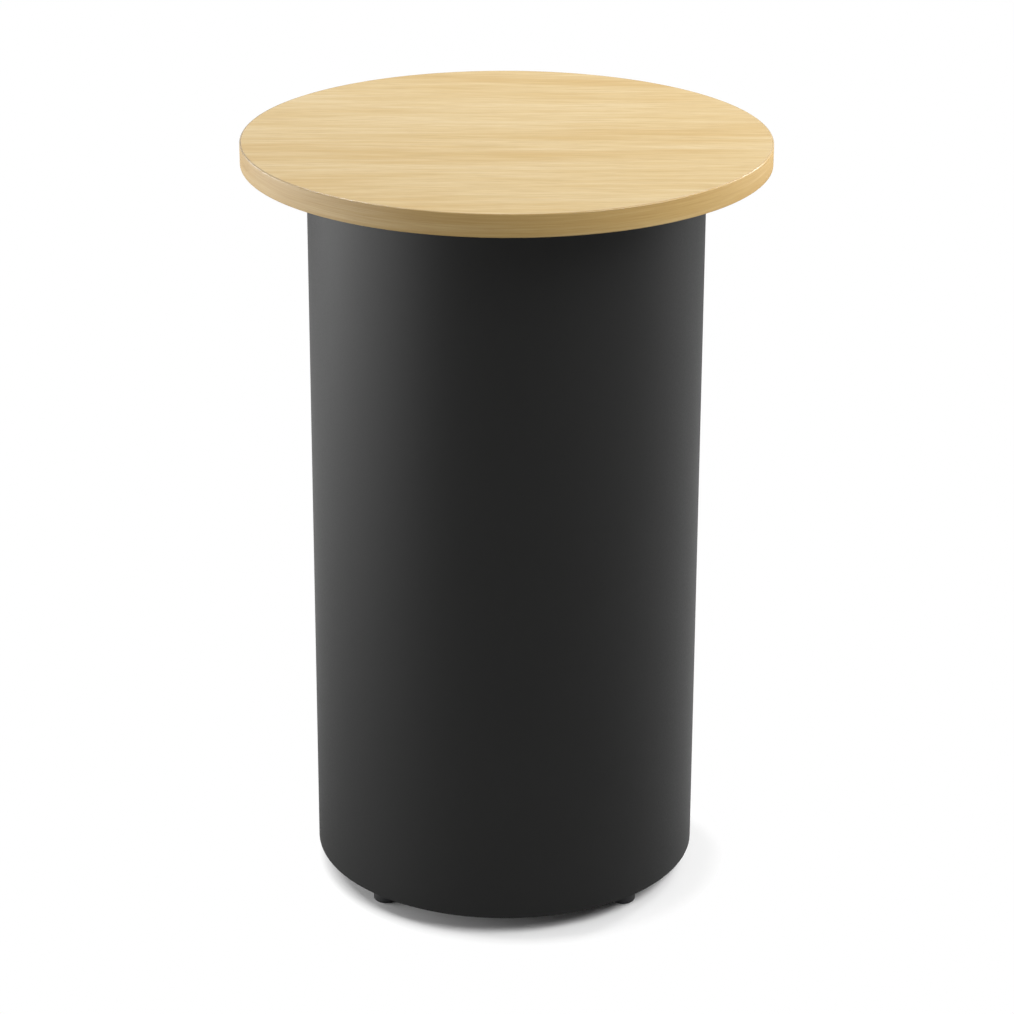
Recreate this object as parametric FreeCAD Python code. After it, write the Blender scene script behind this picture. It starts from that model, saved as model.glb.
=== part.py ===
import FreeCAD, Part
import math
import os

# Standing-height table: a round laminated top on a drum of rolled sheet steel, with a
# welded cross at its head, a welded ring at its foot and four screw-in levelling feet.
# Millimetres. Z is up, the floor is z = 0 and the drum's axis is x = y = 0.
# The front is -Y, and the folded seam of the drum is at the back, on +Y.

Vector = FreeCAD.Vector
UP = Vector(0, 0, 1)
ORIGIN = Vector(0, 0, 0)
FULL_TURN = 360.0
HEX_SIDES = 6
LENGTH_TOLERANCE = 0.001

# ------------------------------------------------------------------ driving dimensions

# Round top: a particle-board core between two laminate sheets, with a plastic edge band
top_diameter = 700.0
core_thickness = 28.0
laminate_thickness = 1.0
band_thickness = 2.0
band_edge_chamfer = 1.0
glue_line = 0.1

# Drum: one sheet, rolled round, its two upright edges folded inwards side by side
drum_diameter = 527.0
drum_height = 986.0
drum_wall = 1.5
seam_gap = 0.3
seam_bend_radius = 2.5
seam_flange_depth = 18.0
seam_relief = 10.0
weld_gap = 0.1

# Cross of folded channels welded in the head of the drum, open side down
arm_angles = {
    "right": 0.0,
    "back": 90.0,
    "left": 180.0,
    "front": 270.0,
}
channel_width = 50.0
channel_depth = 25.0
channel_thickness = 3.0
channel_bend_radius = 4.0

# Hexagon-head screws that pull the top down on the cross, one through each arm
screw_diameter = 6.0
screw_hole_clearance = 0.5
screw_pilot_clearance = 0.05
screw_pilot_spare = 1.0
screw_head_width = 10.0
screw_head_height = 4.0
screw_cover = 7.0

# Ring welded in the foot of the drum, with a pair of gussets beside each levelling foot
base_ring_width = 80.0
base_ring_thickness = 8.0
base_ring_recess = 2.0
driver_clearance = 17.0
gusset_side_angle = 14.0
gusset_reach = 40.0
gusset_height = 60.0
gusset_thickness = 3.0
gusset_toe = 8.0
gusset_snip = 6.0

# Levelling feet: a moulded pad, and a threaded stem that turns in it
foot_angles = {
    "front_left": 225.0,
    "front_right": 315.0,
    "back_right": 45.0,
    "back_left": 135.0,
}
foot_inset = 31.0
foot_travel = 12.0
foot_nut_width = 17.0
foot_nut_height = 10.0
stem_diameter = 10.0
stem_thread_fit = 0.05
stem_hole_clearance = 0.5
stem_tip_spare = 2.0
stem_hex_width = 17.0
stem_hex_height = 8.4
stem_neck_length = 2.6
pad_diameter = 34.0
pad_height = 15.0
pad_floor = 4.5
pad_socket_fit = 0.05

# ------------------------------------------------------------------ levels, from the floor up

base_ring_bottom = pad_height + stem_neck_length + stem_hex_height
base_ring_top = base_ring_bottom + base_ring_thickness
drum_bottom = base_ring_bottom - base_ring_recess
drum_top = drum_bottom + drum_height
channel_bottom = drum_top - channel_depth
web_bottom = drum_top - channel_thickness
core_bottom = drum_top + laminate_thickness
core_top = core_bottom + core_thickness
table_height = core_top + laminate_thickness

# ------------------------------------------------------------------ radii, from the rim inwards

top_radius = top_diameter / 2
band_inner_radius = top_radius - band_thickness
core_radius = band_inner_radius - glue_line
drum_radius = drum_diameter / 2
drum_inner_radius = drum_radius - drum_wall
weld_radius = drum_inner_radius - weld_gap
base_ring_inner_radius = weld_radius - base_ring_width
foot_circle = drum_inner_radius - foot_inset
screw_circle = base_ring_inner_radius - driver_clearance
screw_radius = screw_diameter / 2
stem_radius = stem_diameter / 2


# ------------------------------------------------------------------ shared shapes

def moved_to_circle(shape, radius, angle):
    """A copy of a shape made on the Z axis, set out along +X to a radius and turned to an angle."""
    copy = shape.translated(Vector(radius, 0, 0))
    copy.rotate(ORIGIN, UP, angle)
    return copy


def copies_on_circle(shape, radius, angles):
    """One copy at each angle of a circle, as a group of separate solids."""
    return Part.makeCompound([moved_to_circle(shape, radius, angle) for angle in angles])


def rod(radius, low, high):
    """Round bar on the Z axis between two heights."""
    return Part.makeCylinder(radius, high - low, Vector(0, 0, low), UP)


def tube(outer_radius, inner_radius, low, high):
    """Ring or sleeve on the Z axis between two heights."""
    return rod(outer_radius, low, high).cut(rod(inner_radius, low, high))


def hexagon(width, low, high):
    """Hexagonal bar on the Z axis, by its width across flats, with a flat facing +X."""
    side_angle = math.radians(FULL_TURN / HEX_SIDES)
    corner_radius = width / 2 / math.cos(side_angle / 2)
    corners = []
    for side in range(HEX_SIDES + 1):
        angle = side_angle * (side + 0.5)
        corners.append(Vector(corner_radius * math.cos(angle), corner_radius * math.sin(angle), low))
    return Part.Face(Part.makePolygon(corners)).extrude(Vector(0, 0, high - low))


def circular_edges(shape, radius, height):
    """The edges of a turned shape that run right round it at one radius and height."""
    found = []
    for edge in shape.Edges:
        if not isinstance(edge.Curve, Part.Circle):
            continue
        same_radius = abs(edge.Curve.Radius - radius) < LENGTH_TOLERANCE
        same_height = abs(edge.Curve.Center.z - height) < LENGTH_TOLERANCE
        if same_radius and same_height:
            found.append(edge)
    return found


def arc_between(start, middle, end):
    """Edge of a circle through three points."""
    return Part.Arc(start, middle, end).toShape()


def bend_points(centre, radius, first, last):
    """Start, middle and end of the arc about a centre that turns from one direction to another."""
    halfway = (first + last).normalize()
    return [centre + direction * radius for direction in (first, halfway, last)]


# ------------------------------------------------------------------ table top

def screw_holes(clearance, low, high):
    """Cutters for the holes of the top's screws between two heights."""
    return copies_on_circle(rod(screw_radius + clearance, low, high), screw_circle, arm_angles.values())


def top_board():
    """Core of the top, with blind pilot holes for the screws in its underside."""
    pilot_end = core_top - screw_cover + screw_pilot_spare
    holes = screw_holes(screw_pilot_clearance, core_bottom, pilot_end)
    return rod(core_radius, core_bottom, core_top).cut(holes)


def top_laminate():
    """Decorative sheet on the core."""
    return rod(core_radius, core_top, table_height)


def backing_laminate():
    """Balancing sheet under the core, drilled for the screws."""
    holes = screw_holes(screw_pilot_clearance, drum_top, core_bottom)
    return rod(core_radius, drum_top, core_bottom).cut(holes)


def edge_band():
    """Edging strip round the core and both sheets, with its two outer edges eased."""
    band = tube(top_radius, band_inner_radius, drum_top, table_height)
    sharp = circular_edges(band, top_radius, drum_top) + circular_edges(band, top_radius, table_height)
    return band.makeChamfer(band_edge_chamfer, sharp)


def top_screws():
    """Screws up through the webs of the cross into the core."""
    head = hexagon(screw_head_width, web_bottom - screw_head_height, web_bottom)
    shank = rod(screw_radius, web_bottom, core_top - screw_cover)
    return copies_on_circle(head.fuse(shank), screw_circle, arm_angles.values())


# ------------------------------------------------------------------ drum

def folded_section():
    """Face of the sheet across the drum, with both edges bent inwards to a flange at the seam."""
    half_gap = seam_gap / 2
    bend_x = half_gap + seam_bend_radius
    bend_distance = drum_radius - seam_bend_radius
    bend_y = math.sqrt(bend_distance ** 2 - bend_x ** 2)
    flange_end = drum_inner_radius - seam_flange_depth
    bend_centre = Vector(bend_x, bend_y, 0)
    from_drum = Vector(bend_x, bend_y, 0).normalize()
    to_flange = Vector(-1, 0, 0)
    outer_bend = bend_points(bend_centre, seam_bend_radius, from_drum, to_flange)
    inner_bend = bend_points(bend_centre, seam_bend_radius - drum_wall, from_drum, to_flange)

    def mirrored(points):
        """The same points on the other side of the seam."""
        return [Vector(-point.x, point.y, point.z) for point in points]

    flange_tip = [Vector(half_gap, flange_end, 0), Vector(half_gap + drum_wall, flange_end, 0)]
    edges = [
        arc_between(outer_bend[0], Vector(0, -drum_radius, 0), mirrored(outer_bend)[0]),
        arc_between(inner_bend[0], Vector(0, -drum_inner_radius, 0), mirrored(inner_bend)[0]),
    ]
    for outer, inner, tip in (
        (outer_bend, inner_bend, flange_tip),
        (mirrored(outer_bend), mirrored(inner_bend), mirrored(flange_tip)),
    ):
        edges.append(arc_between(*outer))
        edges.append(arc_between(*inner))
        edges.append(Part.makeLine(outer[2], tip[0]))
        edges.append(Part.makeLine(inner[2], tip[1]))
        edges.append(Part.makeLine(tip[0], tip[1]))
    return Part.Face(Part.Wire(Part.__sortEdges__(edges)))


def butted_length(low, high):
    """Stretch of the drum where the flanges are notched away and the sheet's edges only meet."""
    slit = Part.makeBox(seam_gap, drum_radius, high - low, Vector(-seam_gap / 2, 0, low))
    return tube(drum_radius, drum_inner_radius, low, high).cut(slit)


def drum_shell():
    """The rolled sheet, its seam flanges ending clear of the base ring and of the cross."""
    flange_bottom = base_ring_top + seam_relief
    flange_top = channel_bottom - seam_relief
    section = folded_section()
    section.translate(Vector(0, 0, flange_bottom))
    folded_length = section.extrude(Vector(0, 0, flange_top - flange_bottom))
    foot_length = butted_length(drum_bottom, flange_bottom)
    head_length = butted_length(flange_top, drum_top)
    return folded_length.fuse([foot_length, head_length]).removeSplitter()


def folded_channel(start, end):
    """Channel along X with its web flush with the head of the drum and its flanges pointing down."""
    half_width = channel_width / 2
    flange_inside = half_width - channel_thickness
    bend_side = half_width - channel_bend_radius
    bend_height = drum_top - channel_bend_radius

    def half_outline(side):
        """One side's edges of the section, from the outer middle of the web to its inner middle."""
        bend_centre = Vector(start, side * bend_side, bend_height)
        outwards = Vector(0, side, 0)
        outer_bend = bend_points(bend_centre, channel_bend_radius, UP, outwards)
        inner_bend = bend_points(bend_centre, channel_bend_radius - channel_thickness, UP, outwards)
        outer_foot = Vector(start, side * half_width, channel_bottom)
        inner_foot = Vector(start, side * flange_inside, channel_bottom)
        return [
            Part.makeLine(Vector(start, 0, drum_top), outer_bend[0]),
            arc_between(*outer_bend),
            Part.makeLine(outer_bend[2], outer_foot),
            Part.makeLine(outer_foot, inner_foot),
            Part.makeLine(inner_foot, inner_bend[2]),
            arc_between(*inner_bend),
            Part.makeLine(inner_bend[0], Vector(start, 0, web_bottom)),
        ]

    section = Part.Face(Part.Wire(Part.__sortEdges__(half_outline(1) + half_outline(-1))))
    return section.extrude(Vector(end - start, 0, 0)).removeSplitter()


def coped_channel(start, end):
    """Channel cut to the curve of the drum's wall and drilled where screws pass its web."""
    inside_of_drum = rod(weld_radius, channel_bottom, drum_top)
    holes = screw_holes(screw_hole_clearance, web_bottom, drum_top)
    return folded_channel(start, end).common(inside_of_drum).cut(holes)


def head_channel():
    """Long member of the cross, from wall to wall."""
    return coped_channel(-drum_radius, drum_radius)


def head_arm(side):
    """Short member of the cross, from the long one's flange to the wall."""
    return moved_to_circle(coped_channel(channel_width / 2, drum_radius), 0, arm_angles[side])


# ------------------------------------------------------------------ foot of the drum

def base_ring():
    """Thick ring that stiffens the drum, carries the feet and keeps the weight low."""
    ring = tube(weld_radius, base_ring_inner_radius, base_ring_bottom, base_ring_top)
    stem_hole = rod(stem_radius + stem_hole_clearance, base_ring_bottom, base_ring_top)
    return ring.cut(copies_on_circle(stem_hole, foot_circle, foot_angles.values()))


def base_gusset():
    """Upright plate on the base ring against the wall, along X, with its welded corner snipped."""
    wall = weld_radius
    toe = wall - gusset_reach
    head = base_ring_top + gusset_height
    outline = [
        Vector(wall - gusset_snip, 0, base_ring_top),
        Vector(toe, 0, base_ring_top),
        Vector(toe, 0, base_ring_top + gusset_toe),
        Vector(wall - gusset_toe, 0, head),
        Vector(wall, 0, head),
        Vector(wall, 0, base_ring_top + gusset_snip),
    ]
    face = Part.Face(Part.makePolygon(outline + outline[:1]))
    face.translate(Vector(0, -gusset_thickness / 2, 0))
    return face.extrude(Vector(0, gusset_thickness, 0))


def foot_weld_nuts():
    """Tall nuts welded on the base ring for the stems of the feet."""
    low = base_ring_top
    high = low + foot_nut_height
    nut = hexagon(foot_nut_width, low, high).cut(rod(stem_radius + stem_thread_fit, low, high))
    return copies_on_circle(nut, foot_circle, foot_angles.values())


def foot_pad():
    """Moulded disc that stands on the floor, with a blind socket for the stem."""
    socket = rod(stem_radius + pad_socket_fit, pad_floor, pad_height)
    return rod(pad_diameter / 2, 0, pad_height).cut(socket)


def foot_stem():
    """Threaded stem with a spanner hexagon, screwed in until the hexagon meets the base ring."""
    tip = base_ring_top + foot_nut_height + foot_travel + stem_tip_spare
    spanner_hexagon = hexagon(stem_hex_width, base_ring_bottom - stem_hex_height, base_ring_bottom)
    return rod(stem_radius, pad_floor, tip).fuse(spanner_hexagon)


# ------------------------------------------------------------------ files

def table_pieces():
    """Every piece of the table by the name of its node."""
    pieces = {
        "top_board": top_board(),
        "top_laminate": top_laminate(),
        "backing_laminate": backing_laminate(),
        "edge_band": edge_band(),
        "top_screws": top_screws(),
        "drum_shell": drum_shell(),
        "head_channel": head_channel(),
        "head_arm_front": head_arm("front"),
        "head_arm_back": head_arm("back"),
        "base_ring": base_ring(),
        "foot_weld_nuts": foot_weld_nuts(),
    }
    gusset = base_gusset()
    pad = foot_pad()
    stem = foot_stem()
    for place, angle in foot_angles.items():
        pieces["base_gusset_" + place + "_1"] = moved_to_circle(gusset, 0, angle - gusset_side_angle)
        pieces["base_gusset_" + place + "_2"] = moved_to_circle(gusset, 0, angle + gusset_side_angle)
        pieces["foot_pad_" + place] = moved_to_circle(pad, foot_circle, angle)
        pieces["foot_stem_" + place] = moved_to_circle(stem, foot_circle, angle)
    return pieces


os.makedirs("parts", exist_ok=True)
for node, shape in table_pieces().items():
    shape.exportStep(os.path.join("parts", node + ".step"))
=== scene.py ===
import math

import bpy
from bpy.props import FloatProperty, FloatVectorProperty, PointerProperty
from mathutils import Matrix, Vector


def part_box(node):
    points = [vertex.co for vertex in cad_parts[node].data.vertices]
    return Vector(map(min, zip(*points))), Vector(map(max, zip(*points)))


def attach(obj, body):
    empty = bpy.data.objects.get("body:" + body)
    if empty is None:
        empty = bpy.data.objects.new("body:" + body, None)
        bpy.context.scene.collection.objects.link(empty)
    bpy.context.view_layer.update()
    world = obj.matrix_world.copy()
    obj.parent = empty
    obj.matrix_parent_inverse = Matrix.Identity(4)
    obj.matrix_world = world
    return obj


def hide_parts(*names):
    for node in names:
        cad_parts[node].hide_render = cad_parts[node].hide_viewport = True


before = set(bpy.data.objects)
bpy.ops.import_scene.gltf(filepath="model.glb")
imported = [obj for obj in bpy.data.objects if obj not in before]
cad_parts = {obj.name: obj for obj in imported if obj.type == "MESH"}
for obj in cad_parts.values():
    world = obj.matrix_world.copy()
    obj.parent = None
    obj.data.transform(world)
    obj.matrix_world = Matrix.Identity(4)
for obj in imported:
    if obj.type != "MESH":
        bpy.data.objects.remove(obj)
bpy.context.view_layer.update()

bl_info = {
    "name": "Standing meeting table",
    "version": (1, 0, 0),
    "blender": (4, 5, 0),
    "location": "3D View > Sidebar > Table",
    "description": "Finishes a round standing meeting table and sets it in a white studio",
    "category": "Object",
}

# Names of the frame's bodies and nodes
TABLE = "table"
FOOT_PLACES = ("front_left", "front_right", "back_right", "back_left")
GUSSETS = ["base_gusset_%s_%d" % (place, side) for place in FOOT_PLACES for side in (1, 2)]
COATED_NODES = ["drum_shell", "head_channel", "head_arm_front", "head_arm_back", "base_ring", *GUSSETS]

# Sizes that the nodes' boxes don't tell
GLUE_LINE = 0.00002
STEM_RADIUS = 0.005
THREAD_FIT = 0.00005
FOOT_HEXAGON_WIDTH = 0.017
FOOT_HEXAGON_HEIGHT = 0.0084
SOCKET_FLOOR = 0.0045
SCREW_RADIUS = 0.003
SCREW_HEXAGON_WIDTH = 0.010
SCREW_HEAD_HEIGHT = 0.004
GUSSET_THICKNESS = 0.003
SEAM_FLANGE_DEPTH = 0.018
SEAM_RELIEF = 0.010

# Turned chamfer of a hexagon: where it starts, as a share of half its width, and how steep it is
CHAMFER_START = 0.96
CHAMFER_SLOPE = math.tan(math.radians(30))

FULL_TURN = 2 * math.pi
QUARTERS = [quarter * FULL_TURN / 4 for quarter in range(4)]
HEX_SIDES = 6
UP = Vector((0, 0, 1))
SHARP_ANGLE = math.radians(32)
RIM_COLUMNS = 384
SMALL_COLUMNS = 96
STEPS_TO_A_RIPPLE = 4


# ------------------------------------------------------------------ what a user can change

def length(name, description, default):
    """A length in metres."""
    return FloatProperty(name=name, description=description, default=default, min=0.0, precision=5,
                         subtype="DISTANCE", unit="LENGTH")


def angle(name, description, degrees):
    """An angle, given in degrees."""
    return FloatProperty(name=name, description=description, default=math.radians(degrees),
                         precision=4, subtype="ANGLE", unit="ROTATION")


def share(name, description, default):
    """A share from nothing to all."""
    return FloatProperty(name=name, description=description, default=default, min=0.0, max=1.0,
                         subtype="FACTOR")


def strength(name, description, default):
    """A factor with no upper end."""
    return FloatProperty(name=name, description=description, default=default, min=0.0)


def colour(name, description, default):
    """A colour in linear light."""
    return FloatVectorProperty(name=name, description=description, default=default, size=3, min=0.0,
                               max=1.0, subtype="COLOR")


def power(name, description, default):
    """The power of a lamp."""
    return FloatProperty(name=name, description=description, default=default, min=0.0,
                         subtype="POWER", unit="POWER")


class TableSizes(bpy.types.PropertyGroup):
    """Small sizes that the construction leaves to the finish."""

    band_edge: length("Band edge", "Rounding of the edge band's outer edges", 0.0015)
    sheet_edge: length("Sheet edge", "Flat eased on the rim of the top sheet", 0.00004)
    pad_foot: length("Pad foot", "Rounding at the foot of a pad", 0.0035)
    pad_head: length("Pad head", "Rounding at the head of a pad", 0.0018)
    socket_edge: length("Socket edge", "Chamfer at the mouth of a pad's socket and of a nut's bore", 0.0005)
    stem_tip: length("Stem tip", "Chamfer at the tip of a stem", 0.0009)
    stem_pitch: length("Stem pitch", "Height of one turn of a stem's thread", 0.0015)
    stem_thread: length("Stem thread", "Depth of a stem's thread", 0.0009)
    screw_pitch: length("Screw pitch", "Height of one turn of a screw's thread", 0.0026)
    screw_thread: length("Screw thread", "Depth of a screw's thread", 0.0009)
    screw_point: length("Screw point", "Height of a screw's point", 0.0045)
    weld_width: length("Weld width", "Width of a weld bead", 0.0038)
    weld_ripple: length("Weld ripple", "Distance between two ripples of a weld bead", 0.0016)
    stitch: length("Weld stitch", "Length of each stitch weld round the base ring", 0.040)
    tack: length("Nut tack", "Length of each tack weld at the foot of a weld nut", 0.006)


class TableColours(bpy.types.PropertyGroup):
    """Colours and sheen of the table's finishes."""

    oak_pale: colour("Pale oak", "Palest streaks of the top", (0.720, 0.567, 0.326))
    oak_middle: colour("Middle oak", "Main tone of the top", (0.668, 0.503, 0.257))
    oak_warm: colour("Warm oak", "Warmest streaks of the top", (0.604, 0.420, 0.181))
    oak_grain: colour("Oak grain", "Fine dark grain of the top", (0.487, 0.323, 0.134))
    edging_pale: colour("Pale edging", "Palest streaks of the edge band", (0.558, 0.400, 0.180))
    edging_middle: colour("Middle edging", "Main tone of the edge band", (0.488, 0.324, 0.113))
    edging_warm: colour("Warm edging", "Warmest streaks of the edge band", (0.447, 0.284, 0.090))
    edging_grain: colour("Edging grain", "Fine dark grain of the edge band", (0.360, 0.207, 0.055))
    oak_gloss: share("Oak gloss", "How strongly the top mirrors", 0.25)
    edging_gloss: share("Edging gloss", "How strongly the edge band mirrors", 0.55)
    edging_buff: share("Edging buff", "How much smoother the band is where it turns over at the top", 0.40)
    # Painted light and shade: how much paler the edge band is drawn to the right and how much darker to the
    # left
    edging_drift: share("Edging drift", "How much the edge band's tone drifts from side to side", 0.20)
    coat: colour("Powder coat", "Charcoal of the steel", (0.0100, 0.0102, 0.0099))
    coat_roughness: share("Coat roughness", "How matt the powder coat is", 0.50)
    coat_gloss: share("Coat gloss", "How strongly the powder coat mirrors", 0.215)
    steel: colour("Zinc plate", "Colour of the stems and screws", (0.60, 0.61, 0.62))
    nylon: colour("Nylon", "Colour of the pads", (0.010, 0.010, 0.011))
    board: colour("Particle board", "Colour of the core", (0.47, 0.31, 0.16))
    backing: colour("Balancing sheet", "Colour of the sheet under the core", (0.46, 0.40, 0.32))


class StudioSetup(bpy.types.PropertyGroup):
    """Camera, lamps and floor."""

    camera_distance: length("Camera distance", "From the table's axis, along the floor", 4.2494)
    camera_height: length("Camera height", "Above the floor", 2.2169)
    camera_pitch: angle("Camera pitch", "How far the camera looks down", 21.798)
    camera_yaw: angle("Camera yaw", "How far the camera looks to its left", -0.026)
    camera_roll: angle("Camera roll", "How far the camera leans", 0.181)
    camera_lens: FloatProperty(name="Lens", description="Focal length of the camera", default=118.594,
                               subtype="DISTANCE_CAMERA", unit="CAMERA")
    floor_width: length("Floor width", "Side of the square floor", 26.0)
    floor_bounce: share("Floor bounce", "Share of the light that the floor throws back at the table", 0.35)
    floor_mirrored: share("Floor in gloss", "How pale the floor is where gloss shows it", 0.70)
    floor_gain: strength("Floor gain", "How pale the floor is drawn where it shows the shadow", 1.0)
    shadow_reach: length("Shadow reach", "How far past the drum the floor shows its shadow", 0.024)
    shadow_right: length("Shadow to the right", "How far the shadow lies to the right of the drum", 0.024)
    shadow_front: length("Shadow to the front", "How far the shadow lies in front of the drum", 0.008)
    ambient: share("Ambient", "Strength of the light from all round", 0.0)
    left_power: power("Left power", "Power of the long low lamp on the left", 103.0)
    left_back_power: power("Left back power", "Power of the low lamp behind on the left", 28.0)
    right_power: power("Right power", "Power of the high lamp on the right", 200.0)
    behind_power: power("Behind power", "Power of the low lamp behind on the right", 31.0)
    left_rim_power: power("Left rim power", "Power of the lamp for the rim's left highlight", 28.0)
    right_rim_power: power("Right rim power", "Power of the lamp for the rim's right highlight", 22.0)


# ------------------------------------------------------------------ skins of round pieces

def level(radius, height):
    """A row of a skin that keeps one radius and height all the way round."""
    return lambda turn: (radius, height)


def round_skin(rows, columns, poles=None):
    """Vertices and faces of a skin round the Z axis.

    A row gives the radius and height at an angle. The rows run outwards along the underside, up
    and inwards again. Poles are the heights of a first and a last point on the axis that close
    the skin; without them, the last row joins the first.
    """
    vertices = []
    for row in rows:
        for column in range(columns):
            turn = FULL_TURN * column / columns
            radius, height = row(turn)
            vertices.append(Vector((radius * math.cos(turn), radius * math.sin(turn), height)))
    faces = []
    for band in range(len(rows) - 1 if poles else len(rows)):
        lower = band * columns
        upper = (band + 1) % len(rows) * columns
        for column in range(columns):
            after = (column + 1) % columns
            faces.append((lower + column, lower + after, upper + after, upper + column))
    if poles:
        last_row = (len(rows) - 1) * columns
        first_pole = len(vertices)
        vertices.extend(UP * height for height in poles)
        for column in range(columns):
            after = (column + 1) % columns
            faces.append((first_pole, after, column))
            faces.append((first_pole + 1, last_row + column, last_row + after))
    return vertices, faces


def set_out(skin, x, y):
    """A skin moved from the axis to a place, its +X side turned away from the axis."""
    vertices, faces = skin
    place = Matrix.Translation((x, y, 0)) @ Matrix.Rotation(math.atan2(y, x), 4, "Z")
    return [place @ vertex for vertex in vertices], faces


def joined(skins):
    """Several skins as one."""
    vertices = []
    faces = []
    for skin_vertices, skin_faces in skins:
        start = len(vertices)
        vertices.extend(skin_vertices)
        faces.extend([start + corner for corner in face] for face in skin_faces)
    return vertices, faces


def eased_corner(before, corner, after, radius, steps=6):
    """Points of the arc that rounds a corner between its two neighbours."""
    to_before = (before - corner).normalized()
    to_after = (after - corner).normalized()
    half_angle = to_before.angle(to_after) / 2
    tangent_length = radius / math.tan(half_angle)
    centre = corner + (to_before + to_after).normalized() * (radius / math.sin(half_angle))
    first = (corner + to_before * tangent_length - centre).normalized()
    last = (corner + to_after * tangent_length - centre).normalized()
    return [centre + first.slerp(last, step / steps) * radius for step in range(steps + 1)]


def eased_rows(corners):
    """Rows of a skin from (radius, height, rounding) corners."""
    rows = []
    for index, (radius, height, rounding) in enumerate(corners):
        if rounding == 0:
            rows.append(level(radius, height))
            continue
        before = Vector(corners[index - 1][:2])
        after = Vector(corners[(index + 1) % len(corners)][:2])
        for point in eased_corner(before, Vector((radius, height)), after, rounding):
            rows.append(level(point.x, point.y))
    return rows


def hexagon_face(width, height, upwards):
    """Two rows of a hexagon's end face, from its flat ring to its chamfered edge.

    The chamfer cuts the six corners back. upwards is 1 on a face that looks up and -1 on one
    that looks down.
    """
    face_radius = width / 2 * CHAMFER_START
    side_angle = FULL_TURN / HEX_SIDES

    def edge(turn):
        """Radius and height where the chamfer meets the side at an angle."""
        from_flat = (turn + side_angle / 2) % side_angle - side_angle / 2
        radius = width / 2 / math.cos(from_flat)
        return radius, height - upwards * (radius - face_radius) * CHAMFER_SLOPE

    return [level(face_radius, height), edge]


def threaded_rows(radius, depth, pitch, low, high):
    """Rows of a right-handed thread between two heights, running out at both ends."""
    crest_width = 0.12
    flank_width = 0.76
    rows_per_turn = 8

    def row(height):
        """The row at one height."""
        run_out = min(1.0, (height - low) / pitch, (high - height) / pitch)

        def around(turn):
            """Radius and height at an angle."""
            from_crest = abs(2 * ((height / pitch - turn / FULL_TURN) % 1.0) - 1)
            groove = min(1.0, max(0.0, (from_crest - crest_width) / flank_width))
            return radius - depth * run_out * groove, height

        return around

    count = round((high - low) / pitch * rows_per_turn)
    return [row(low + (high - low) * step / count) for step in range(count + 1)]


# ------------------------------------------------------------------ weld beads

def bead_skin(path, width, ripple):
    """A rippled bead with tapered ends along a path of points."""
    sides = 8
    ripple_depth = 0.16
    steps = [(after - before).length for before, after in zip(path, path[1:])]
    whole = sum(steps)
    vertices = [path[0]]
    travelled = 0.0
    for index in range(1, len(path) - 1):
        travelled += steps[index - 1]
        along = (path[index + 1] - path[index - 1]).normalized()
        side = along.orthogonal().normalized()
        other = along.cross(side)
        taper = math.sqrt(min(1.0, min(travelled, whole - travelled) / width))
        radius = width / 2 * taper * (1.0 - ripple_depth * (travelled / ripple % 1.0))
        for step in range(sides):
            turn = FULL_TURN * step / sides
            vertices.append(path[index] + (side * math.cos(turn) + other * math.sin(turn)) * radius)
    vertices.append(path[-1])
    faces = []
    rings = len(path) - 2
    last_ring = 1 + (rings - 1) * sides
    for step in range(sides):
        after = (step + 1) % sides
        faces.append((0, 1 + after, 1 + step))
        faces.append((len(vertices) - 1, last_ring + step, last_ring + after))
        for first in range(1, last_ring, sides):
            second = first + sides
            faces.append((first + step, first + after, second + after, second + step))
    return vertices, faces


def straight_path(start, end, ripple):
    """Points along a line, a few to each ripple."""
    ripples = max(1, (end - start).length / ripple)
    count = round(ripples * STEPS_TO_A_RIPPLE)
    return [start.lerp(end, step / count) for step in range(count + 1)]


def curved_path(centre, radius, middle, reach, ripple):
    """Points along a level arc about a centre, a few to each ripple."""
    ripples = max(1, reach / ripple)
    count = round(ripples * STEPS_TO_A_RIPPLE)
    points = []
    for step in range(count + 1):
        turn = middle + (step / count - 1 / 2) * reach / radius
        points.append(centre + Vector((math.cos(turn), math.sin(turn), 0)) * radius)
    return points


def at_angle(turn, radius, sideways, height):
    """A point by its angle about the table's axis, its radius and its offset to the side."""
    outwards = Vector((math.cos(turn), math.sin(turn), 0))
    return outwards * radius + UP.cross(outwards) * sideways + UP * height


def weld_root(sizes):
    """How far inside the wall the middle of a bead lies, so that none shows outside."""
    return sizes.weld_width / 4


def ring_weld_paths(sizes):
    """Stitches between the base ring's upper side and the drum, clear of feet and seam."""
    offset = math.radians(15)
    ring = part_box("base_ring")[1]
    radius = ring.x - weld_root(sizes)
    paths = []
    for quarter in QUARTERS:
        for middle in (quarter - offset, quarter + offset):
            paths.append(curved_path(UP * ring.z, radius, middle, sizes.stitch, sizes.weld_ripple))
    return paths


def gusset_weld_paths(sizes):
    """Beads on both sides of each gusset, along the ring and up the wall."""
    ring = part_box("base_ring")[1]
    end_gap = 0.004
    snip = 0.006
    toe = 0.008
    wall = ring.x - weld_root(sizes)
    paths = []
    for node in GUSSETS:
        low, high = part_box(node)
        middle = (low + high) / 2
        turn = math.atan2(middle.y, middle.x)
        inner = 2 * middle.xy.length - ring.x
        for side in (-GUSSET_THICKNESS / 2, GUSSET_THICKNESS / 2):
            level_start = at_angle(turn, inner + end_gap, side, ring.z)
            level_end = at_angle(turn, ring.x - snip, side, ring.z)
            upright_start = at_angle(turn, wall, side, ring.z + snip)
            upright_end = at_angle(turn, wall, side, high.z - toe)
            paths.append(straight_path(level_start, level_end, sizes.weld_ripple))
            paths.append(straight_path(upright_start, upright_end, sizes.weld_ripple))
    return paths


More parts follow.
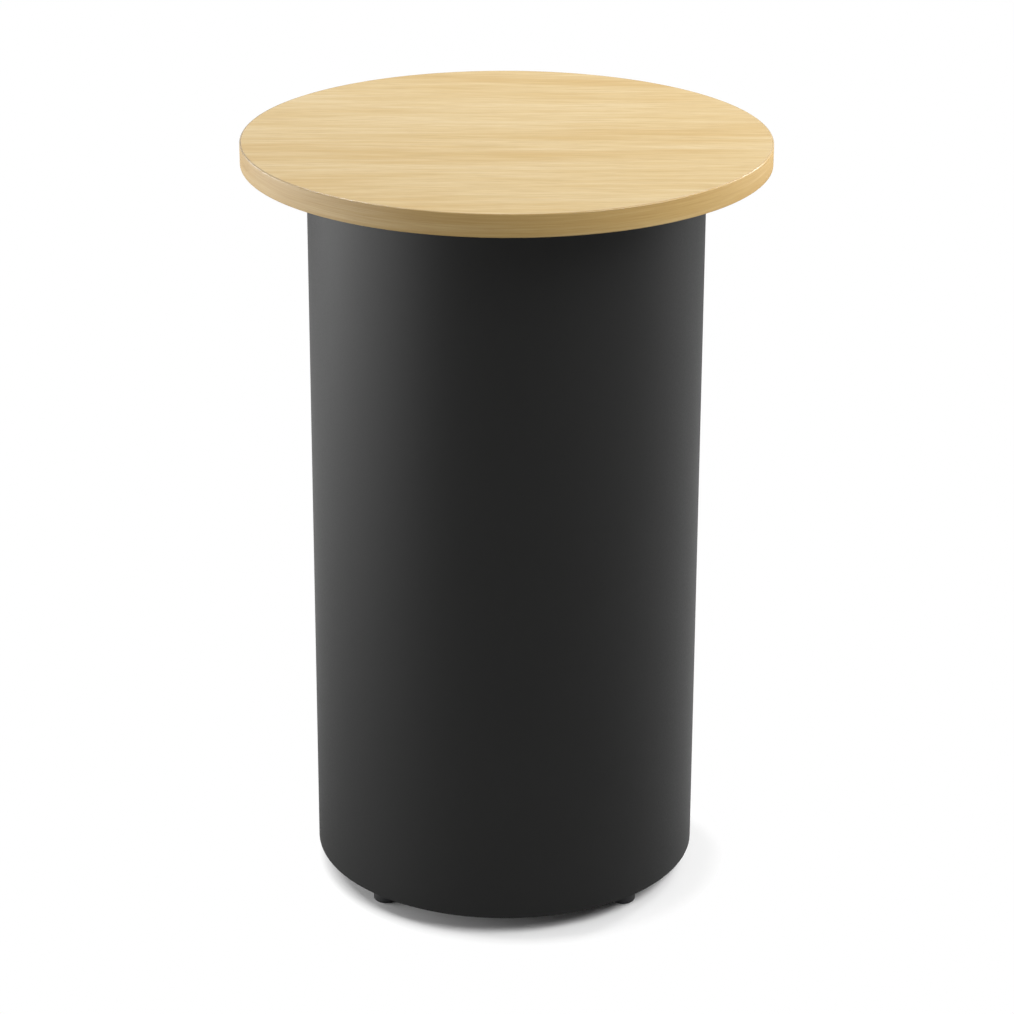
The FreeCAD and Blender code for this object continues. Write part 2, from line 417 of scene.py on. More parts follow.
def cross_weld_paths(sizes):
    """Upright beads where the channels of the cross meet the drum and each other."""
    low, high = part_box("head_channel")
    bend = 0.004
    half_width = high.y
    wall_reach = math.sqrt(high.x ** 2 - half_width ** 2) - weld_root(sizes)
    feet = []
    for side in (-half_width, half_width):
        feet.extend(at_angle(turn, wall_reach, side, low.z) for turn in QUARTERS)
        feet.extend(Vector((side, other, low.z)) for other in (-half_width, half_width))
    rise = UP * (high.z - low.z - bend)
    return [straight_path(foot, foot + rise, sizes.weld_ripple) for foot in feet]


def nut_weld_paths(sizes):
    """Three tacks at the foot of each weld nut."""
    ring_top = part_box("base_ring")[1].z
    tack_radius = FOOT_HEXAGON_WIDTH / 2
    paths = []
    for place in FOOT_PLACES:
        x, y = foot_axis(place)
        for third in range(3):
            middle = math.atan2(y, x) + third * FULL_TURN / 3
            centre = Vector((x, y, ring_top))
            paths.append(curved_path(centre, tack_radius, middle, sizes.tack, sizes.weld_ripple))
    return paths


def seam_weld_paths(sizes):
    """A bead along the seam's flanges, and one on the butted edges at the head and at the foot."""
    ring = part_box("base_ring")[1]
    cross_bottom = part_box("head_channel")[0].z
    wall = ring.x - weld_root(sizes)
    flange_edge = ring.x - SEAM_FLANGE_DEPTH
    flange_bottom = ring.z + SEAM_RELIEF
    flange_top = cross_bottom - SEAM_RELIEF
    stretches = [
        (wall, ring.z, flange_bottom),
        (flange_edge, flange_bottom, flange_top),
        (wall, flange_top, cross_bottom),
    ]
    paths = []
    for y, start, end in stretches:
        paths.append(straight_path(Vector((0, y, start)), Vector((0, y, end)), sizes.weld_ripple))
    return paths


# ------------------------------------------------------------------ finishes

class Finish:
    """One material, with short words for the nodes that make it."""

    def __init__(self, name):
        self.material = bpy.data.materials.new(name)
        self.material.use_nodes = True
        self.nodes = self.material.node_tree.nodes
        self.links = self.material.node_tree.links
        self.shader = self.nodes["Principled BSDF"]
        self.place = self.node("ShaderNodeTexCoord").outputs["Object"]

    def feed(self, socket, value):
        """Joins a socket to an output, or sets it to a plain value."""
        if isinstance(value, bpy.types.NodeSocket):
            self.links.new(value, socket)
        elif socket.type == "RGBA":
            socket.default_value = (*value, 1.0)
        else:
            socket.default_value = value

    def node(self, kind, inputs=None, **settings):
        """Adds a node, sets its options and feeds its inputs."""
        node = self.nodes.new(kind)
        for name, value in settings.items():
            setattr(node, name, value)
        for name, value in (inputs or {}).items():
            self.feed(node.inputs[name], value)
        return node

    def number(self, operation, *values):
        """The outcome of one sum."""
        return self.node("ShaderNodeMath", dict(enumerate(values)), operation=operation).outputs[0]

    def parts(self, vector):
        """The x, y and z of a vector."""
        return self.node("ShaderNodeSeparateXYZ", {"Vector": vector}).outputs

    def whole(self, x, y, z):
        """A vector from its x, y and z."""
        return self.node("ShaderNodeCombineXYZ", {"X": x, "Y": y, "Z": z}).outputs[0]

    def stretched(self, vector, stretch):
        """A vector scaled along each axis."""
        return self.node("ShaderNodeMapping", {"Vector": vector, "Scale": stretch}).outputs[0]

    def noise(self, vector, scale, detail=2.0, roughness=0.5):
        """Soft noise about 0.5."""
        inputs = {"Vector": vector, "Scale": scale, "Detail": detail, "Roughness": roughness}
        return self.node("ShaderNodeTexNoise", inputs).outputs["Fac"]

    def span(self, value, low, high, new_low=0.0, new_high=1.0):
        """A value moved from one range to another, and kept inside it."""
        inputs = {"Value": value, "From Min": low, "From Max": high, "To Min": new_low, "To Max": new_high}
        return self.node("ShaderNodeMapRange", inputs, clamp=True).outputs["Result"]

    def ramp(self, factor, stops):
        """A colour picked along a row of (place, colour) stops."""
        node = self.node("ShaderNodeValToRGB", {"Fac": factor})
        elements = node.color_ramp.elements
        while len(elements) < len(stops):
            elements.new(0.5)
        for element, (place, value) in zip(elements, stops):
            element.position = place
            element.color = (*value, 1.0)
        return node.outputs["Color"]

    def mixed(self, factor, first, second):
        """Two colours mixed by a factor."""
        node = self.node("ShaderNodeMix", data_type="RGBA")
        self.feed(node.inputs["Factor"], factor)
        self.feed(node.inputs[6], first)
        self.feed(node.inputs[7], second)
        return node.outputs[2]

    def bump(self, height, distance, strength):
        """Relief from a height, joined to the shader's normal."""
        inputs = {"Height": height, "Distance": distance, "Strength": strength}
        self.set(Normal=self.node("ShaderNodeBump", inputs).outputs["Normal"])

    def set(self, **values):
        """Feeds the shader's own sockets, by their names with underscores for spaces."""
        for name, value in values.items():
            self.feed(self.shader.inputs[name.replace("_", " ")], value)


# Range that most of a soft noise lies in
NOISE_RANGE = (0.3, 0.7)


def scaled(colour, factor):
    """A colour made darker or paler by a factor."""
    return [channel * factor for channel in colour]


# Layers of noise in the oak's figure: how many bumps pass in a metre along the grain, how many pass
# across each broad streak, their detail, and a shift that tells the layers apart
FIGURE_LAYERS = {
    "broad": (1.6, 1.0, 3.0, 4.7),
    "narrow": (6.0, 5.5, 3.0, 11.3),
    "fine": (14.0, 26.0, 2.0, 23.9),
    "pores": (38.0, 75.0, 1.0, 31.1),
}
GRAIN_DEPTH = 0.00004


def wood_figure(finish, along, across, tones, streaks):
    """Colour and relief of straight oak grain: broad tones, streaks, fine lines and pores.

    along and across are distances in the grain's two directions, tones are the pale, middle and
    warm colours and that of the fine lines, and streaks is how many broad tones pass in a metre.
    """
    pale, middle, warm, line = tones
    sway_along = 2.2
    sway_across = 5.0
    sway_reach = 0.25 / streaks
    raggedness = 0.58
    broad_share = 0.55
    warm_below = 0.36
    middle_at = 0.50
    pale_above = 0.64
    line_range = (0.44, 0.70)
    pore_range = (0.58, 0.72)
    darkest = 0.45
    line_relief = 0.4

    sway_place = finish.whole(finish.number("MULTIPLY", along, sway_along),
                              finish.number("MULTIPLY", across, sway_across), 0.0)
    swayed = finish.number("MULTIPLY_ADD", finish.noise(sway_place, 1.0), sway_reach, across)
    layers = []
    for along_rate, across_rate, detail, shift in FIGURE_LAYERS.values():
        x = finish.number("MULTIPLY_ADD", along, along_rate, shift)
        y = finish.number("MULTIPLY", swayed, streaks * across_rate)
        layers.append(finish.noise(finish.whole(x, y, shift), 1.0, detail, raggedness))
    broad, narrow, fine, pores = layers
    narrow_part = finish.number("MULTIPLY", narrow, 1 - broad_share)
    tone = finish.number("MULTIPLY_ADD", broad, broad_share, narrow_part)
    base = finish.ramp(tone, [(warm_below, warm), (middle_at, middle), (pale_above, pale)])
    lined = finish.mixed(finish.span(fine, *line_range, 0.0, darkest), base, line)
    pored = finish.mixed(finish.span(pores, *pore_range, 0.0, darkest), lined, line)
    relief = finish.number("SUBTRACT", finish.number("MULTIPLY", fine, line_relief), pores)
    return pored, relief


def grain_roughness(finish, relief, smoothest, roughest):
    """Roughness that follows the relief of the grain, smoothest in the pores."""
    deepest = -0.5
    return finish.span(relief, deepest, 0.0, smoothest, roughest)


def oak_sheet_finish(scene):
    """Matt oak-look laminate, its grain running from left to right."""
    colours = scene.table_colours
    streaks = 13.0
    smoothest = 0.54
    roughest = 0.64
    relief_strength = 0.4

    finish = Finish("oak_sheet_finish")
    x, y = finish.parts(finish.place)[:2]
    tones = (colours.oak_pale, colours.oak_middle, colours.oak_warm, colours.oak_grain)
    figure, relief = wood_figure(finish, x, y, tones, streaks)
    roughness = grain_roughness(finish, relief, smoothest, roughest)
    finish.set(Base_Color=figure, Roughness=roughness, Specular_IOR_Level=colours.oak_gloss)
    finish.bump(relief, GRAIN_DEPTH, relief_strength)
    return finish.material


def oak_band_finish(scene):
    """Matt oak-look edging, its grain running round the rim, buffed where it turns over, with painted light
    making it paler to the right and painted shade making it darker to the left.
    """
    colours = scene.table_colours
    rounding = scene.table_sizes.band_edge
    painted_light_share = colours.edging_drift
    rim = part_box("edge_band")[1]
    streaks = 58.0
    smoothest = 0.54
    roughest = 0.62
    relief_strength = 0.3

    finish = Finish("oak_band_finish")
    x, y, z = finish.parts(finish.place)
    around_front = finish.number("ARCTAN2", x, finish.number("MULTIPLY", y, -1.0))
    around = finish.number("MULTIPLY", around_front, rim.x)
    tones = (colours.edging_pale, colours.edging_middle, colours.edging_warm, colours.edging_grain)
    figure, relief = wood_figure(finish, around, z, tones, streaks)
    # Painted light and shade: the band's colour is scaled up towards the right and down towards the left
    tone = finish.span(x, -rim.x, rim.x, 1.0 - painted_light_share, 1.0 + painted_light_share)
    painted_light_figure = finish.node("ShaderNodeVectorMath", {0: figure, "Scale": tone}, operation="SCALE")
    turned_over = finish.span(z, rim.z - rounding, rim.z - rounding / 2)
    matt = grain_roughness(finish, relief, smoothest, roughest)
    buffed = finish.number("MULTIPLY_ADD", turned_over, -colours.edging_buff, matt)
    finish.set(Base_Color=painted_light_figure.outputs[0], Roughness=buffed, Specular_IOR_Level=colours.edging_gloss)
    finish.bump(relief, GRAIN_DEPTH, relief_strength)
    return finish.material


def pressed_chip_board(scene):
    """Pressed chips of wood."""
    board = scene.table_colours.board
    chips_to_a_metre = 260.0
    flattened = (1, 1, 2.4)
    palest_shadow = 0.35
    dark_share = 0.5
    roughness = 0.85
    relief_depth = 0.0003
    relief_strength = 0.6

    finish = Finish("pressed_chip_board")
    inputs = {"Vector": finish.stretched(finish.place, flattened), "Scale": chips_to_a_metre}
    chips = finish.node("ShaderNodeTexVoronoi", inputs)
    shade = finish.span(chips.outputs["Color"], 0.0, 1.0, palest_shadow, 1.0)
    finish.set(Base_Color=finish.mixed(shade, scaled(board, dark_share), board), Roughness=roughness)
    finish.bump(chips.outputs["Distance"], relief_depth, relief_strength)
    return finish.material


def balancing_paper(scene):
    """Matt sheet with a fine pressed grain and a faint mottle."""
    backing = scene.table_colours.backing
    mottle_scale = 18.0
    mottle_range = (0.35, 0.65)
    grain_scale = 1400.0
    dark_share = 0.86
    roughness_range = (0.50, 0.62)
    relief_depth = 0.00006
    relief_strength = 0.5

    finish = Finish("balancing_paper")
    mottle = finish.noise(finish.place, mottle_scale, detail=3.0)
    grain = finish.noise(finish.place, grain_scale)
    shade = finish.span(mottle, *mottle_range)
    finish.set(Base_Color=finish.mixed(shade, scaled(backing, dark_share), backing),
               Roughness=finish.span(grain, *NOISE_RANGE, *roughness_range))
    finish.bump(grain, relief_depth, relief_strength)
    return finish.material


def charcoal_powder_coat(scene):
    """Fine-textured charcoal powder coat."""
    colours = scene.table_colours
    grit_scale = 2100.0
    orange_peel_scale = 420.0
    cloud_scale = 7.0
    shade_range = (0.38, 0.62)
    dark_share = 0.86
    roughness_swing = 0.03
    grit_relief = 0.35
    relief_depth = 0.00009
    relief_strength = 0.3

    finish = Finish("charcoal_powder_coat")
    grit = finish.noise(finish.place, grit_scale, roughness=0.6)
    orange_peel = finish.noise(finish.place, orange_peel_scale)
    cloud = finish.noise(finish.place, cloud_scale, detail=3.0)
    shade = finish.number("MULTIPLY", finish.number("ADD", grit, cloud), 1 / 2)
    smoothest = colours.coat_roughness - roughness_swing
    roughest = colours.coat_roughness + roughness_swing
    deep = scaled(colours.coat, dark_share)
    finish.set(Base_Color=finish.mixed(finish.span(shade, *shade_range), deep, colours.coat),
               Roughness=finish.span(orange_peel, *NOISE_RANGE, smoothest, roughest),
               Specular_IOR_Level=colours.coat_gloss)
    relief = finish.number("MULTIPLY_ADD", grit, grit_relief, orange_peel)
    finish.bump(relief, relief_depth, relief_strength)
    return finish.material


def zinc_plate(scene):
    """Zinc-plated steel, turned, with a faint yellow cloud of passivation."""
    steel = scene.table_colours.steel
    yellow_filter = (1.0, 0.95, 0.82)
    cloud_scale = 160.0
    cloud_range = (0.35, 0.7)
    turning_scales = (600, 600, 5200)
    roughness_range = (0.26, 0.42)
    relief_depth = 0.00002
    relief_strength = 0.3

    finish = Finish("zinc_plate")
    cloud = finish.noise(finish.place, cloud_scale, detail=3.0)
    turning_marks = finish.noise(finish.stretched(finish.place, turning_scales), 1.0)
    yellowed = [channel * passed for channel, passed in zip(steel, yellow_filter)]
    clouded = finish.mixed(finish.span(cloud, *cloud_range), steel, yellowed)
    finish.set(Base_Color=clouded, Metallic=1.0,
               Roughness=finish.span(turning_marks, *NOISE_RANGE, *roughness_range))
    finish.bump(turning_marks, relief_depth, relief_strength)
    return finish.material


def moulded_nylon(scene):
    """Moulded nylon with a fine eroded grain, scuffed paler next to the floor."""
    nylon = scene.table_colours.nylon
    grain_scale = 1700.0
    scuff_scale = 120.0
    scuff_height = 0.004
    scuff_stretch = (1, 1, 6)
    scuff_paleness = 4.0
    scuff_range = (0.5, 0.7)
    roughness_range = (0.46, 0.60)
    relief_depth = 0.00006
    relief_strength = 0.5

    finish = Finish("moulded_nylon")
    grain = finish.noise(finish.place, grain_scale, roughness=0.6)
    scuffs = finish.noise(finish.stretched(finish.place, scuff_stretch), scuff_scale, detail=3.0)
    height = finish.parts(finish.place)["Z"]
    next_to_floor = finish.span(height, 0.0, scuff_height, 1.0, 0.0)
    worn = finish.number("MULTIPLY", next_to_floor, finish.span(scuffs, *scuff_range))
    finish.set(Base_Color=finish.mixed(worn, nylon, scaled(nylon, scuff_paleness)),
               Roughness=finish.span(grain, *NOISE_RANGE, *roughness_range))
    finish.bump(grain, relief_depth, relief_strength)
    return finish.material


FINISHES = {
    "oak_laminate": oak_sheet_finish,
    "oak_edging": oak_band_finish,
    "core_board": pressed_chip_board,
    "backing_sheet": balancing_paper,
    "powder_coat": charcoal_powder_coat,
    "zinc_steel": zinc_plate,
    "black_nylon": moulded_nylon,
}


def finish_for(context, slot):
    """The material of one of the record's slots, made the first time that it is asked for."""
    maker = FINISHES[slot]
    return bpy.data.materials.get(maker.__name__) or maker(context.scene)


# ------------------------------------------------------------------ pieces

def add_piece(context, name, skin, body, slot, *nodes):
    """Adds a smooth mesh that rides on a body, has a slot's finish and stands for CAD nodes."""
    vertices, faces = skin
    mesh = bpy.data.meshes.new(name)
    mesh.from_pydata(vertices, [], faces)
    mesh.shade_smooth()
    mesh.set_sharp_from_angle(angle=SHARP_ANGLE)
    mesh.materials.append(finish_for(context, slot))
    piece = bpy.data.objects.new(name, mesh)
    context.scene.collection.objects.link(piece)
    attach(piece, body)
    if nodes:
        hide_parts(*nodes)


def finish_nodes(context, nodes, slot):
    """Gives CAD nodes the finer finish of their slot."""
    for node in nodes:
        for material_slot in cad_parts[node].material_slots:
            material_slot.material = finish_for(context, slot)


def foot_axis(place):
    """Where a foot's axis meets the floor."""
    low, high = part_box("foot_pad_" + place)
    return (low.x + high.x) / 2, (low.y + high.y) / 2


class TABLE_OT_worktop(bpy.types.Operator):
    """Lays the oak-look sheet on the core, with the balancing sheet below"""

    bl_idname = "table.worktop"
    bl_label = "Worktop"

    def execute(self, context):
        low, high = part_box("top_laminate")
        ease = context.scene.table_sizes.sheet_edge
        rows = [level(high.x, low.z), level(high.x, high.z - ease), level(high.x - ease, high.z)]
        sheet = round_skin(rows, RIM_COLUMNS, poles=(low.z, high.z))
        add_piece(context, "oak_sheet", sheet, TABLE, "oak_laminate", "top_laminate")
        finish_nodes(context, ["top_board"], "core_board")
        finish_nodes(context, ["backing_laminate"], "backing_sheet")
        return {"FINISHED"}


class TABLE_OT_edge_band(bpy.types.Operator):
    """Wraps the rim in an edge band with softly rounded edges"""

    bl_idname = "table.edge_band"
    bl_label = "Edge band"

    def execute(self, context):
        low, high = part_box("edge_band")
        inner_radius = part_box("top_laminate")[1].x + GLUE_LINE
        rounding = context.scene.table_sizes.band_edge
        rows = eased_rows([
            (inner_radius, low.z, 0),
            (high.x, low.z, rounding),
            (high.x, high.z, rounding),
            (inner_radius, high.z, 0),
        ])
        band = round_skin(rows, RIM_COLUMNS)
        add_piece(context, "oak_edge_band", band, TABLE, "oak_edging", "edge_band")
        return {"FINISHED"}


class TABLE_OT_drum(bpy.types.Operator):
    """Powder coats the drum, its cross, its base ring and the gussets"""

    bl_idname = "table.drum"
    bl_label = "Drum"

    def execute(self, context):
        finish_nodes(context, COATED_NODES, "powder_coat")
        return {"FINISHED"}


class TABLE_OT_welds(bpy.types.Operator):
    """Runs the weld beads that hold the steel parts of the drum together"""

    bl_idname = "table.welds"
    bl_label = "Welds"

    def execute(self, context):
        sizes = context.scene.table_sizes
        groups = {
            "ring_welds": ring_weld_paths(sizes),
            "gusset_welds": gusset_weld_paths(sizes),
            "cross_welds": cross_weld_paths(sizes),
            "nut_welds": nut_weld_paths(sizes),
            "seam_welds": seam_weld_paths(sizes),
        }
        for name, paths in groups.items():
            beads = joined([bead_skin(path, sizes.weld_width, sizes.weld_ripple) for path in paths])
            add_piece(context, name, beads, TABLE, "powder_coat")
        return {"FINISHED"}


class TABLE_OT_weld_nuts(bpy.types.Operator):
    """Sets a chamfered weld nut on the base ring over each foot"""

    bl_idname = "table.weld_nuts"
    bl_label = "Weld nuts"

    def execute(self, context):
        low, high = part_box("foot_weld_nuts")
        chamfer = context.scene.table_sizes.socket_edge
        bore = STEM_RADIUS + THREAD_FIT
        rows = [
            level(bore + chamfer, low.z),
            *hexagon_face(FOOT_HEXAGON_WIDTH, low.z, -1),
            *reversed(hexagon_face(FOOT_HEXAGON_WIDTH, high.z, 1)),
            level(bore + chamfer, high.z),
            level(bore, high.z - chamfer),
            level(bore, low.z + chamfer),
        ]
        nut = round_skin(rows, SMALL_COLUMNS)
        nuts = joined([set_out(nut, *foot_axis(place)) for place in FOOT_PLACES])
        add_piece(context, "weld_nuts", nuts, TABLE, "powder_coat", "foot_weld_nuts")
        return {"FINISHED"}


class TABLE_OT_top_screws(bpy.types.Operator):
    """Drives the hexagon-head screws up through the arms of the cross into the core"""

    bl_idname = "table.top_screws"
    bl_label = "Top screws"

    def execute(self, context):
        sizes = context.scene.table_sizes
        low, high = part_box("top_screws")
        shoulder = low.z + SCREW_HEAD_HEIGHT
        hexagon_corner = SCREW_HEXAGON_WIDTH / 2 / math.cos(FULL_TURN / HEX_SIDES / 2)
        screw_circle = high.y - hexagon_corner
        thread_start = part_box("head_channel")[1].z
        thread_end = high.z - sizes.screw_point
        core_radius = SCREW_RADIUS - sizes.screw_thread
        rows = [
            *hexagon_face(SCREW_HEXAGON_WIDTH, low.z, -1),
            *reversed(hexagon_face(SCREW_HEXAGON_WIDTH, shoulder, 1)),
            level(SCREW_RADIUS, shoulder),
            *threaded_rows(SCREW_RADIUS, sizes.screw_thread, sizes.screw_pitch, thread_start, thread_end),
            level(core_radius, thread_end + sizes.screw_point / 3),
        ]
        screw = round_skin(rows, SMALL_COLUMNS, poles=(low.z, high.z))
        screws = joined([set_out(screw, *at_angle(turn, screw_circle, 0, 0).xy) for turn in QUARTERS])
        add_piece(context, "hexagon_screws", screws, TABLE, "zinc_steel", "top_screws")
        return {"FINISHED"}


class TABLE_OT_levelling_pads(bpy.types.Operator):
    """Moulds the pads that stand on the floor"""

    bl_idname = "table.levelling_pads"
    bl_label = "Levelling pads"

    def execute(self, context):
        sizes = context.scene.table_sizes
        socket_radius = STEM_RADIUS + THREAD_FIT
        for place in FOOT_PLACES:
            low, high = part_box("foot_pad_" + place)
            pad_radius = (high.x - low.x) / 2
            rows = eased_rows([
                (socket_radius, low.z, 0),
                (pad_radius, low.z, sizes.pad_foot),
                (pad_radius, high.z, sizes.pad_head),
                (socket_radius + sizes.socket_edge, high.z, 0),
                (socket_radius, high.z - sizes.socket_edge, 0),
                (socket_radius, SOCKET_FLOOR, 0),
            ])
            pad = round_skin(rows, SMALL_COLUMNS, poles=(low.z, SOCKET_FLOOR))
            add_piece(context, "levelling_pad_" + place, set_out(pad, *foot_axis(place)),
                      "pad_" + place, "black_nylon", "foot_pad_" + place)
        return {"FINISHED"}


class TABLE_OT_levelling_stems(bpy.types.Operator):
    """Cuts the threaded stems that screw into the weld nuts"""

    bl_idname = "table.levelling_stems"
    bl_label = "Levelling stems"

    def execute(self, context):
        sizes = context.scene.table_sizes
        ring_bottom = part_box("base_ring")[0].z
        for place in FOOT_PLACES:
            low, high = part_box("foot_stem_" + place)
            thread_end = high.z - sizes.stem_tip
            rows = [
                level(STEM_RADIUS, low.z),
                level(STEM_RADIUS, ring_bottom - FOOT_HEXAGON_HEIGHT),
                *hexagon_face(FOOT_HEXAGON_WIDTH, ring_bottom - FOOT_HEXAGON_HEIGHT, -1),
                *reversed(hexagon_face(FOOT_HEXAGON_WIDTH, ring_bottom, 1)),
                *threaded_rows(STEM_RADIUS, sizes.stem_thread, sizes.stem_pitch, ring_bottom, thread_end),
                level(STEM_RADIUS - sizes.stem_tip, high.z),
            ]
            stem = round_skin(rows, SMALL_COLUMNS, poles=(low.z, high.z))
            add_piece(context, "levelling_stem_" + place, set_out(stem, *foot_axis(place)),
                      "stem_" + place, "zinc_steel", "foot_stem_" + place)
        return {"FINISHED"}


# ------------------------------------------------------------------ studio

# Bearing from the front to the right and rise above level in degrees, distance, width and height
LAMPS = {
    "left": (-86, 1, 3.0, (4.4, 1.0)),
    "right": (64, 44, 4.5, (3.6, 2.4)),
    "behind": (113, 12, 3.0, (2.4, 1.6)),
    "left_back": (-118, 14, 3.0, (2.0, 1.6)),
    "left_rim": (-150, 52, 3.0, (0.7, 0.7)),
    "right_rim": (135, 40, 3.0, (0.5, 1.4)),
}

# Height that the lamps are aimed at, as a share of the drum's height
LAMPS_AIM = 0.6

# Width of the camera's sensor in millimetres
SENSOR_WIDTH = 36.0


def white_where_seen(nodes, links):
    """1 for the rays that show a background: straight from the camera, or by gloss or glass."""
    path = nodes.new("ShaderNodeLightPath")
    total = path.outputs["Is Camera Ray"]
    for ray in ("Is Glossy Ray", "Is Transmission Ray"):
        sum_node = nodes.new("ShaderNodeMath")
        sum_node.operation = "MAXIMUM"
        links.new(total, sum_node.inputs[0])
        links.new(path.outputs[ray], sum_node.inputs[1])
        total = sum_node.outputs[0]
    return total


def add_world(scene, studio):
    """A white surround, which lights the table as strongly as the ambient setting says."""
    world = bpy.data.worlds.new("white_surround")
    world.use_nodes = True
    scene.world = world
    nodes = world.node_tree.nodes
    links = world.node_tree.links
    soft = nodes["Background"]
    soft.inputs["Color"].default_value = (1, 1, 1, 1)
    soft.inputs["Strength"].default_value = studio.ambient
    seen = nodes.new("ShaderNodeBackground")
    seen.inputs["Color"].default_value = (1, 1, 1, 1)
    choice = nodes.new("ShaderNodeMixShader")
    links.new(white_where_seen(nodes, links), choice.inputs["Fac"])
    links.new(soft.outputs[0], choice.inputs[1])
    links.new(seen.outputs[0], choice.inputs[2])
    links.new(choice.outputs[0], nodes["World Output"].inputs["Surface"])


def floor_finish(studio):
    """White floor that shows only the shadow close to the drum, and nothing from below."""
    finish = Finish("studio_floor")
    nodes = finish.nodes
    path = finish.node("ShaderNodeLightPath")
    x, y = finish.parts(finish.place)[:2]
    shadow_x = finish.number("SUBTRACT", x, studio.shadow_right)
    shadow_y = finish.number("ADD", y, studio.shadow_front)
    from_middle = finish.whole(shadow_x, shadow_y, 0.0)
    reach = finish.node("ShaderNodeVectorMath", {0: from_middle}, operation="LENGTH")
    drum_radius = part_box("drum_shell")[1].x
    open_floor = finish.span(reach.outputs["Value"], drum_radius, drum_radius + studio.shadow_reach)
    lighting = finish.node("ShaderNodeBsdfDiffuse", {"Color": [studio.floor_bounce] * 3})
    reflected = finish.node("ShaderNodeBsdfDiffuse", {"Color": [studio.floor_mirrored] * 3})
    shaded = finish.node("ShaderNodeBsdfDiffuse", {"Color": [studio.floor_gain] * 3})
    white = finish.node("ShaderNodeEmission", {"Color": (1, 1, 1), "Strength": 1.0})
    seen = finish.node("ShaderNodeMixShader", {0: open_floor, 1: shaded.outputs[0], 2: white.outputs[0]})
    mirrored = finish.number("MAXIMUM", path.outputs["Is Glossy Ray"], path.outputs["Is Transmission Ray"])
    by_light_or_gloss = {0: mirrored, 1: lighting.outputs[0], 2: reflected.outputs[0]}
    unseen = finish.node("ShaderNodeMixShader", by_light_or_gloss)
    by_ray = {0: path.outputs["Is Camera Ray"], 1: unseen.outputs[0], 2: seen.outputs[0]}
    choice = finish.node("ShaderNodeMixShader", by_ray)
    below = finish.node("ShaderNodeNewGeometry").outputs["Backfacing"]
    clear = finish.node("ShaderNodeBsdfTransparent")
    one_sided = finish.node("ShaderNodeMixShader", {0: below, 1: choice.outputs[0], 2: clear.outputs[0]})
    finish.links.new(one_sided.outputs[0], nodes["Material Output"].inputs["Surface"])
    nodes.remove(finish.shader)
    return finish.material


def add_floor(scene, studio):
    """A level square of floor under the table."""
    half = studio.floor_width / 2
    mesh = bpy.data.meshes.new("studio_floor")
    corners = [(-half, -half, 0), (half, -half, 0), (half, half, 0), (-half, half, 0)]
    mesh.from_pydata(corners, [], [(0, 1, 2, 3)])
    mesh.materials.append(floor_finish(studio))
    floor = bpy.data.objects.new("studio_floor", mesh)
    scene.collection.objects.link(floor)


def add_lamp(scene, name, watts):
    """A soft lamp aimed at the drum, a little above its middle."""
    bearing, rise, distance, size = LAMPS[name]
    lamp = bpy.data.lights.new(name + "_lamp", "AREA")
    lamp.shape = "RECTANGLE"
    lamp.size, lamp.size_y = size
    lamp.energy = watts
    panel = bpy.data.objects.new(name + "_lamp", lamp)
    target = UP * (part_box("drum_shell")[1].z * LAMPS_AIM)
    turn = Matrix.Rotation(math.radians(bearing), 3, "Z") @ Matrix.Rotation(math.radians(-rise), 3, "X")
    outwards = turn @ Vector((0, -1, 0))
    facing = outwards.to_track_quat("Z", "Y").to_matrix().to_4x4()
    panel.matrix_world = Matrix.Translation(target + outwards * distance) @ facing
    panel.visible_camera = False
    scene.collection.objects.link(panel)


def add_camera(scene, studio):
    """A long-lens camera in front of the table, looking down on it."""
    data = bpy.data.cameras.new("studio_camera")
    data.sensor_width = SENSOR_WIDTH
    data.lens = studio.camera_lens
    camera = bpy.data.objects.new("studio_camera", data)
    place = Matrix.Translation((0, -studio.camera_distance, studio.camera_height))
    level_pitch = math.pi / 2 - studio.camera_pitch
    turn = Matrix.Rotation(studio.camera_yaw, 4, "Z") @ Matrix.Rotation(level_pitch, 4, "X")
    camera.matrix_world = place @ turn @ Matrix.Rotation(studio.camera_roll, 4, "Z")
    scene.collection.objects.link(camera)
    scene.camera = camera


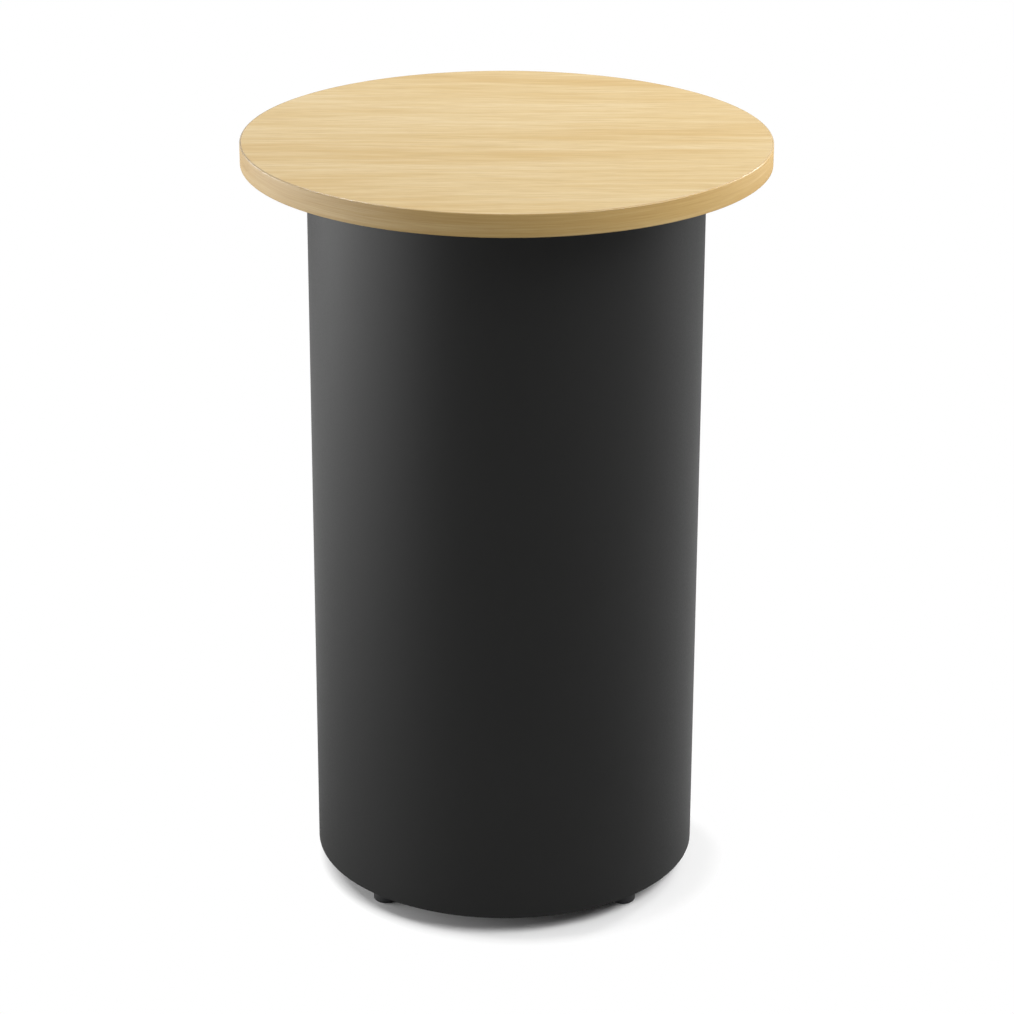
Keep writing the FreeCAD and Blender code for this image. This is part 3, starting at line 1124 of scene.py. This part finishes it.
class TABLE_OT_studio(bpy.types.Operator):
    """Builds the white floor and surround, the lamps and the camera"""

    bl_idname = "table.studio"
    bl_label = "Studio"

    def execute(self, context):
        scene = context.scene
        studio = scene.table_studio
        add_world(scene, studio)
        add_floor(scene, studio)
        for name in LAMPS:
            add_lamp(scene, name, getattr(studio, name + "_power"))
        add_camera(scene, studio)
        scene.view_settings.view_transform = "Standard"
        return {"FINISHED"}


# ------------------------------------------------------------------ add-on

PROPERTY_GROUPS = {
    "table_sizes": TableSizes,
    "table_colours": TableColours,
    "table_studio": StudioSetup,
}
OPERATORS = (
    TABLE_OT_worktop,
    TABLE_OT_edge_band,
    TABLE_OT_drum,
    TABLE_OT_welds,
    TABLE_OT_weld_nuts,
    TABLE_OT_top_screws,
    TABLE_OT_levelling_pads,
    TABLE_OT_levelling_stems,
    TABLE_OT_studio,
)


class TABLE_PT_sidebar(bpy.types.Panel):
    """Lists the table's pieces and what can be changed on them"""

    bl_idname = "TABLE_PT_sidebar"
    bl_label = "Standing meeting table"
    bl_space_type = "VIEW_3D"
    bl_region_type = "UI"
    bl_category = "Table"

    def draw(self, context):
        for operator in OPERATORS:
            self.layout.operator(operator.bl_idname)
        for name, group in PROPERTY_GROUPS.items():
            box = self.layout.box()
            for field in group.__annotations__:
                box.prop(getattr(context.scene, name), field)


def register():
    """Makes the properties, operators and panel known."""
    for item in (*PROPERTY_GROUPS.values(), *OPERATORS, TABLE_PT_sidebar):
        bpy.utils.register_class(item)
    for name, group in PROPERTY_GROUPS.items():
        setattr(bpy.types.Scene, name, PointerProperty(type=group))


def unregister():
    """Takes the properties, operators and panel away again."""
    for name in PROPERTY_GROUPS:
        delattr(bpy.types.Scene, name)
    for item in (TABLE_PT_sidebar, *reversed(OPERATORS), *reversed(PROPERTY_GROUPS.values())):
        bpy.utils.unregister_class(item)


def main():
    """Makes every piece in order."""
    register()
    for operator in OPERATORS:
        category, name = operator.bl_idname.split(".")
        getattr(getattr(bpy.ops, category), name)()


if __name__ == "__main__":
    main()
